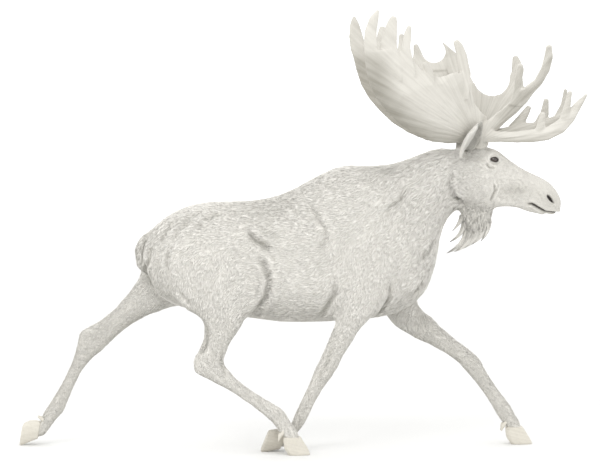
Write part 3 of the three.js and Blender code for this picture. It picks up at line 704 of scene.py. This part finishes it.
# ---------------------------------------------------------------- Ears
# Long cupped leaves of gristle, thinly haired outside and greyer within. The rear edge folds over into a
# pale band, whose front edge runs through these heights and places forwards.
EDGE_HEIGHTS = (1.88, 1.91, 1.95, 2.0, 2.035, 2.1)
EDGE_PLACES = (1.029, 1.036, 1.061, 1.089, 1.101, 1.122)
leaves = {}
for side, hand in ((-1, "right"), (1, "left")):
    points, quads, _ = merged(["ear_" + hand], voxel=0.003, spread=0.8)
    leaf = Surface(points, quads)
    leaf.relax(passes=8, share=0.4)
    leaf.push(np.full(len(leaf.points), -0.0012))
    ridge = np.interp(leaf.points[:, 2], EDGE_HEIGHTS, EDGE_PLACES)
    outer = eased(leaf.normals()[:, 1] * side, -0.2, 0.3)
    band = outer * eased(ridge - leaf.points[:, 0], -0.002, 0.005)
    leaf.push(0.007 * band - 0.0015 * (outer - band))
    cup = outer - band
    piece = mesh_object("ear_leaf_" + hand, leaf.points, leaf.faces)
    piece.data.materials.append(pelt)
    keep(piece, shade=0.12 + 0.75 * cup, dark=np.zeros(len(leaf.points)))
    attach(piece, "root")
    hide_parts("ear_" + hand)
    leaves[hand] = leaf, cup

# ---------------------------------------------------------------- Coat
# Guard hair in tufts over the hide: about 6 cm long on the trunk, longer on crest and bell, 3 cm on the
# legs and under 2 cm on the face. Each tuft is a thin spindle, rooted in the skin and lying along the body.

# A tuft's patch on the sheet that its colours are baked to, as a share of the sheet.
PATCH = 0.003
# Faces in one piece of the coat.
MOST_FACES = 192000


class Near:
    """Height over a surface and the way out of it, between the corners of a grid."""

    def __init__(self, points, faces, voxel):
        self.low, self.voxel = points.min(0) - BAND * voxel, voxel
        self.shape = np.ceil((points.max(0) - self.low) / voxel).astype(int) + 6
        height = distance(points, faces, voxel, self.low, tuple(self.shape))
        self.values = np.stack([height, *np.gradient(height)], 3)

    def __call__(self, places):
        """Both at some places, each mixed from the eight corners round it."""
        at = (places - self.low) / self.voxel
        base = np.clip(np.floor(at).astype(int), 0, self.shape - 2)
        share = at - base
        total = 0
        for corner in np.ndindex(2, 2, 2):
            weight = np.prod(np.where(corner, share, 1 - share), 1)
            total = total + weight[:, None] * self.values[tuple((base + corner).T)]
        return total[:, 0], unit(total[:, 1:])


def unrolled(places, parts):
    """Places on the skin's own unrolled sheet: the bearing round each part's long axis, and the distance
    along it. Every part has its own rectangle, with a margin."""
    present = np.unique(parts)
    columns = int(np.ceil(np.sqrt(len(present))))
    sheet = np.zeros((len(places), 2))
    for k, number in enumerate(present):
        body = mesh_of(BODY[number])[0] if number >= 0 else places[parts == number]
        middle = body.mean(0)
        axes = np.linalg.eigh(np.cov((body - middle).T))[1]
        offset = (places[parts == number] - middle) @ axes
        bearing = np.arctan2(offset[:, 1], offset[:, 0]) / (2 * np.pi) + 0.5
        reach = offset[:, 2]
        reach = (reach - reach.min()) / max(np.ptp(reach), 1e-6)
        cell = np.array([k % columns, k // columns])
        sheet[parts == number] = (cell + 0.02 + 0.96 * np.stack([bearing, reach], 1)) / columns
    return np.clip(sheet, PATCH, 1 - PATCH)


def spindles(path, ways, outs, width, steps, shade):
    """Closed tufts along paths: a root point, rings of three points, and a tip. They come with each
    corner's spot on the tuft's own patch of the sheet, and with a shade that is painted darker at the
    root, as the shade deep in the coat."""
    rings = len(steps) - 2
    points = [path[0][:, None]]
    for k in range(1, rings + 1):
        # Half the width here: nearly full a third of the way along, and narrowing to a quarter at the tip.
        half = 0.5 * width * (1.15 - 0.9 * steps[k]) * min(1, 3.2 * steps[k])
        across = np.cross(ways[k], outs[k]) * half[:, None]
        top = path[k] + outs[k] * (0.26 * width)[:, None]
        points.append(np.stack([path[k] - across, path[k] + across, top], 1))
    points = np.concatenate([*points, path[-1][:, None]], 1)
    pattern, spots = [], []
    for j in range(3):
        low, high, after = j / 3, (j + 1) / 3, (j + 1) % 3
        pattern.append((0, 1 + after, 1 + j))
        spots.append(((low + high) / 2, 0, high, steps[1], low, steps[1]))
        for k in range(rings - 1):
            p, q, t, s = 1 + 3 * k, 4 + 3 * k, steps[k + 1], steps[k + 2]
            pattern += [(p + j, p + after, q + j), (p + after, q + after, q + j)]
            spots += [(low, t, high, t, low, s), (high, t, high, s, low, s)]
        p = 3 * rings - 2
        pattern.append((p + j, p + after, 3 * rings + 1))
        spots.append((low, steps[-2], high, steps[-2], (low + high) / 2, 1))
    pattern, spots = np.array(pattern), np.array(spots).reshape(-1, 3, 2)
    a, b, c = (points[:, pattern[:, k]] - points[:, :1] for k in range(3))
    if np.einsum("ijk,ijk->", a, np.cross(b, c)) < 0:
        pattern, spots = pattern[:, ::-1], spots[:, ::-1]
    # The roots are painted darker, as the shade deep in the coat, and the tips a little paler.
    along = np.concatenate([[0], np.repeat(steps[1:-1], 3), [1]])
    return {"points": points, "pattern": pattern, "spots": spots,
            "shade": np.clip(shade[:, None] + 0.12 * (1 - along) - 0.04 * along, 0, 1)}


def locks(surface, fields, near, rings, chance):
    """Tufts on a surface. Roots are scattered by area and density. A tuft steps along the lie of the
    coat, and at every step it is set back to its height over the skin, which rises from the root as a
    sine."""
    a, b, c = (surface.points[surface.faces[:, k]] for k in range(3))
    area = np.linalg.norm(np.cross(b - a, c - a), axis=1) / 2
    weight = np.cumsum(area * fields["density"][surface.faces].mean(1))
    number = int(weight[-1])
    face = np.searchsorted(weight, chance.random(number) * weight[-1])
    one, two = np.sqrt(chance.random(number)), chance.random(number)
    share = np.stack([1 - one, one * (1 - two), one * two], 1)
    corners = surface.faces[face]

    def here(values):
        return np.einsum("ij,ij...->i...", share, values[corners])

    root, out = here(surface.points), unit(here(surface.normals()))
    lie = here(fields["lie"])
    # Neighbouring locks lean together, and each one a little its own way.
    lean = (0.20 * np.sin(root @ (23, 31, 17)) + 0.16 * np.sin(root @ (-47, 29, 38) + 1)
            + 0.14 * np.sin(root @ (90, -70, 61)) + chance.normal(0, 0.13, number))
    lie = unit(lie - out * (lie * out).sum(1, keepdims=True))
    lie = lie * np.cos(lean)[:, None] + np.cross(out, lie) * np.sin(lean)[:, None]
    length = here(fields["length"]) * chance.uniform(0.65, 1.2, number)
    width = here(fields["width"]) * chance.uniform(0.7, 1.25, number)
    rise = here(fields["rise"]) * chance.uniform(0.45, 1.15, number)
    steps = np.linspace(0, 1, rings + 2)
    own = near(root)[0]
    place, path, ways, outs = root, [root - 0.002 * out], [lie], [out]
    for k in range(1, len(steps)):
        place = place + lie * (length * (steps[k] - steps[k - 1]))[:, None]
        height, up = near(place)
        target = own + rise * np.sin(0.5 * np.pi * steps[k]) ** 0.8
        place = place + up * (target - height)[:, None]
        lie = unit(lie - up * (lie * up).sum(1, keepdims=True))
        path.append(place)
        ways.append(lie)
        outs.append(up)
    shade = here(fields["shade"]) + chance.normal(0, 0.08, number)
    grown = spindles(path, ways, outs, width, steps, shade)
    return {"root": root, "parts": fields["part"][corners[:, 0]], **grown}


def coat(name, grown):
    """Pieces of coat along the body, none with more than MOST_FACES faces, each with its sheet."""
    order = np.argsort(grown["root"][:, 0])
    pieces = int(np.ceil(len(order) * len(grown["pattern"]) / MOST_FACES))
    for k, chosen in enumerate(np.array_split(order, pieces)):
        points, pattern = grown["points"][chosen], grown["pattern"]
        count = points.shape[1]
        faces = (pattern[None] + (np.arange(len(chosen)) * count)[:, None, None]).reshape(-1, 3)
        title = name if pieces == 1 else f"{name}_{k + 1}"
        piece = mesh_object(title, points.reshape(-1, 3), faces)
        sheet = unrolled(grown["root"][chosen], grown["parts"][chosen])
        spread = sheet[:, None, None] + (grown["spots"][None] - 0.5) * PATCH
        layer = piece.data.uv_layers.new(name="OFBake")
        layer.data.foreach_set("uv", np.ascontiguousarray(spread, np.float32).ravel())
        keep(piece, shade=grown["shade"][chosen].ravel(), dark=np.zeros(points.shape[0] * count))
        piece.data.materials.append(pelt)
        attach(piece, "root")


# The lie of the coat: back along the body and down the legs, and more downwards over breast, rump and cheek.
facing = skin.normals()
x, y, z = skin.points.T
lie = by_part({
    "trunk": (-1, 0, -.10), "neck": (-.75, 0, -.70), "head": (-1, 0, .25), "bell": (-.12, 0, -1),
    "tail": (-.2, 0, -1), "shoulder": (-.35, 0, -.95), "thigh": (-.25, 0, -1),
    **{n: tuple(downward(n)) for n in BODY if n.split("_")[0] in ("gaskin", "forearm", "cannon", "hoof")}})
body = by_part({"trunk": 1, "": 0})[:, 0]
front = eased(x, 0.15, 0.6) * body
rump = eased(x, -0.60, -0.95) * body
lie = lie + front[:, None] * (.25, 0, -.75) + rump[:, None] * (.25, 0, -.8)
face = by_part({"head": 1, "": 0})[:, 0]
cheek = face * eased(x, 1.30, 1.12) * eased(z, 1.86, 1.74)
lie = lie + cheek[:, None] * (.0, 0, -.75)
# Along the back it parts to both sides.
lie[:, 1] += 0.18 * np.sign(y) * body * eased(facing[:, 2], 0.1, 0.7)
for _ in range(50):
    lie = skin.mean(lie)
lie = unit(lie - facing * (lie * facing).sum(1, keepdims=True))

measures = by_part({
    # length, width, rise of the tip over the skin, tufts in a square metre
    "trunk": (.056, .0048, .0056, 14500),
    "neck": (.066, .0048, .0080, 17000),
    "shoulder": (.046, .0044, .0050, 20000),
    "thigh": (.046, .0044, .0050, 20000),
    "gaskin": (.037, .0041, .0036, 21000),
    "forearm": (.037, .0041, .0036, 21000),
    "cannon": (.027, .0035, .0026, 32000),
    "head": (.017, .0025, .0022, 52000),
    "bell": (.080, .0050, .0080, 26000),
    "tail": (.070, .0050, .0090, 22000),
    "hoof": (.022, .0030, .0050, 0)}, passes=14)
length, width, rise, density = measures.T.copy()
# Longer on the crest of the neck and the nape, shorter on the muzzle and round the eyes, none on bare skin
# or horn.
crest = eased(facing[:, 2], 0.3, 0.85) * eased(x, -0.25, 0.1) * (1 - face)
length += 0.025 * crest
rise += 0.004 * crest
nape = face * eased(x, 1.24, 1.02)
length += 0.024 * nape
width += 0.0012 * nape
rise += 0.0025 * nape
muzzle = face * eased(x, 1.38, 1.56)
near_eye = np.exp(-(away(skin.points, EYE) / 0.05) ** 2)
small = np.maximum(muzzle * 0.62, near_eye * 0.6)
length *= 1 - small
width *= 1 - 0.6 * small
rise *= 1 - small
density *= 1 + 0.9 * small
density *= 1 - eased(dark, 0.02, 0.25)
density *= 1 - by_part({"hoof": 1, "": 0}, passes=1)[:, 0]
# Over the coronets the hair stands further out, so that it lies on the horn.
rise += 0.004 * by_part({"hoof": 1, "": 0}, passes=6)[:, 0]

# Grey of the hair, added up: by part of the body, then the dip of the back, the hump, painted shade on the
# underside, the rear and inside the legs, then the muzzle and round the nostrils, and last painted shade in
# creases.
shade = by_part({
    "bell": .42, "tail": .40, "head": .09, "cannon": .11, "gaskin": .09, "forearm": .09, "": .05},
    passes=16)[:, 0]
shade += 0.30 * eased(facing[:, 2], 0.2, 0.8) * np.exp(-((x + 0.17) / 0.22) ** 2) * eased(z, 1.4, 1.5)
shade += 0.28 * eased(facing[:, 2], 0.1, 0.8) * np.exp(-((x - 0.60) / 0.13) ** 2) * eased(z, 1.7, 1.8)
# Painted shade: darker where the hair faces down.
shade += 0.30 * eased(facing[:, 2], -0.2, -0.8) * (1 - face)
# Painted shade: darker where the rump turns to the rear.
shade += 0.22 * eased(facing[:, 0], -0.3, -0.9) * eased(x, -0.5, -0.8)
# Painted shade: darker on the inner sides of the legs.
shade += 0.15 * eased(facing[:, 1] * np.sign(y), -0.1, -0.7) * eased(z, 1.0, 0.8)
shade += 0.16 * muzzle + 0.175 * np.exp(-(away(skin.points, NOSTRIL) / 0.05) ** 2)
# Painted shade: darker in the creases, by their depth.
shade += 0.65 * np.clip(-lift / 0.016, 0, 1)
# The skin is painted darker than its hair, as the shade among the tufts,
# most of all where short hair covers it thinly.
thin = by_part({"cannon": 1, "gaskin": 1, "forearm": 1, "head": 0.7, "": 0}, passes=8)[:, 0]
keep(skin_object, shade=np.clip(shade + 0.30 + 0.11 * thin, 0, 1))

chance = np.random.default_rng(11)
fields = {"lie": lie, "length": length, "width": width, "rise": rise, "shade": shade, "part": part}
near = Near(skin.points, skin.faces, 0.009)
for name, prefixes, rings in (
        ("coat_trunk", ("trunk",), 2),
        ("coat_neck", ("neck", "bell", "tail"), 2),
        ("coat_limb", ("shoulder", "thigh"), 2),
        ("coat_leg", ("gaskin", "forearm", "cannon"), 1),
        ("coat_face", ("head",), 1)):
    wanted = np.array([n.startswith(prefixes) for n in BODY])[part]
    coat(name, locks(skin, {**fields, "density": density * wanted}, near, rings, chance))

# The bell ends in ragged locks that hang free and draw to a point, swept back a little. Each has its root,
# middle and tip in side view, and half its breadth at the root; its hairs run side by side along a curve
# through those.
BELL_LOCKS = (
    ((1.040, 1.507), (1.024, 1.455), (.973, 1.391), .020),
    ((1.053, 1.475), (1.034, 1.388), (.951, 1.321), .024),
    ((1.079, 1.444), (1.050, 1.334), (.937, 1.252), .034),
    ((1.104, 1.437), (1.079, 1.330), (.985, 1.262), .030),
    ((1.143, 1.446), (1.118, 1.350), (1.025, 1.275), .032),
    ((1.175, 1.460), (1.160, 1.372), (1.090, 1.305), .030),
    ((1.207, 1.491), (1.203, 1.402), (1.156, 1.327), .024))
HAIRS_IN_LOCK = 420
BELL_HALF_WIDTH = 0.036
start, middle, end = (np.array([[lock[k][0], 0, lock[k][1]] for lock in BELL_LOCKS]) for k in range(3))
which = np.repeat(np.arange(len(BELL_LOCKS)), HAIRS_IN_LOCK)
number = len(which)
middle = 2 * middle - (start + end) / 2
turn, reach = chance.uniform(0, 2 * np.pi, number), np.sqrt(chance.random(number))
begin, stop = chance.uniform(0, 0.45, number), chance.uniform(0.72, 1.0, number)
broad = np.array([lock[3] for lock in BELL_LOCKS])[which]
steps = np.linspace(0, 1, 5)
path, ways, outs = [], [], []
for step in steps:
    t = (begin + (stop - begin) * step)[:, None]
    spine = (1 - t) ** 2 * start[which] + 2 * t * (1 - t) * middle[which] + t ** 2 * end[which]
    way = unit(2 * (1 - t) * (middle - start)[which] + 2 * t * (end - middle)[which])
    side = np.cross(way, (0, 1, 0))
    off = side * (np.cos(turn) * reach * broad)[:, None]
    off = off + (0, 1, 0) * (np.sin(turn) * reach * BELL_HALF_WIDTH)[:, None]
    path.append(spine + off * (1 - t) ** 0.8)
    ways.append(way)
    outs.append(unit(off))
width = chance.uniform(0.0035, 0.006, number)
shade = 0.42 + chance.normal(0, 0.08, number)
grown = spindles(path, ways, outs, width, steps, shade)
coat("coat_bell_locks", {**grown, "root": path[0], "parts": np.full(number, FLESH.index("bell"))})

# The ears' own hair: short and flat outside, longer and greyer within and along the rim.
for hand, (leaf, cup) in leaves.items():
    out = leaf.normals()
    axis = unit(leaf.points[leaf.points[:, 2].argmax()] - centre("ear_" + hand))
    ones = np.ones(len(leaf.points))
    fields = {
        "lie": unit(axis - out * (out @ axis)[:, None]), "length": 0.018 + 0.012 * cup,
        "width": 0.0028 * ones, "rise": 0.0022 + 0.002 * cup, "density": 70000 * ones,
        "shade": 0.03 + 0.62 * cup, "part": np.full(len(leaf.points), -1)}
    coat("coat_ear_" + hand, locks(leaf, fields, Near(leaf.points, leaf.faces, 0.003), 1, chance))

# ---------------------------------------------------------------- Floor, light and camera
# A plain pale floor, with a key light from the right and behind, a weak fill from the right and before, and
# an even white sky. The camera stands far off on the right side, at the height of the antlers.
FLOOR_SIZE = 40.0
SKY_POWER = 1.32
bpy.ops.mesh.primitive_plane_add(size=FLOOR_SIZE)
floor = bpy.context.object
floor.name = "floor"
paint = finish("plain_floor", lambda wire: {}, Base_Color=(0.78, 0.78, 0.77, 1), Roughness=0.9)
floor.data.materials.append(paint)


def lamp(name, place, aim, size, power):
    """A soft square light of a size in metres and a power in watts, facing a point."""
    data = bpy.data.lights.new(name, "AREA")
    data.shape = "SQUARE"
    data.size = size
    data.energy = power
    made = bpy.data.objects.new(name, data)
    bpy.context.scene.collection.objects.link(made)
    made.location = place
    made.rotation_euler = (Vector(aim) - Vector(place)).to_track_quat("-Z", "Y").to_euler()


lamp("key", (-4, -8, 9), (0, 0, 1.2), 5, 330)
lamp("fill", (7, -7, 4), (0, 0, 1.2), 6, 40)
world = bpy.data.worlds.new("world")
world.use_nodes = True
sky = world.node_tree.nodes["Background"]
sky.inputs["Color"].default_value = (1, 1, 1, 1)
sky.inputs["Strength"].default_value = SKY_POWER
bpy.context.scene.world = world
camera_data = bpy.data.cameras.new("camera")
camera_data.lens = 140.625
camera_data.sensor_width = 36
camera = bpy.data.objects.new("camera", camera_data)
bpy.context.scene.collection.objects.link(camera)
aim = Vector((0.00125, 0, 1.3831))
camera.location = (-0.39065, -14.9669, 2.2988)
camera.rotation_euler = (aim - camera.location).to_track_quat("-Z", "Y").to_euler()
bpy.context.scene.camera = camera
bpy.context.scene.view_settings.view_transform = "Standard"
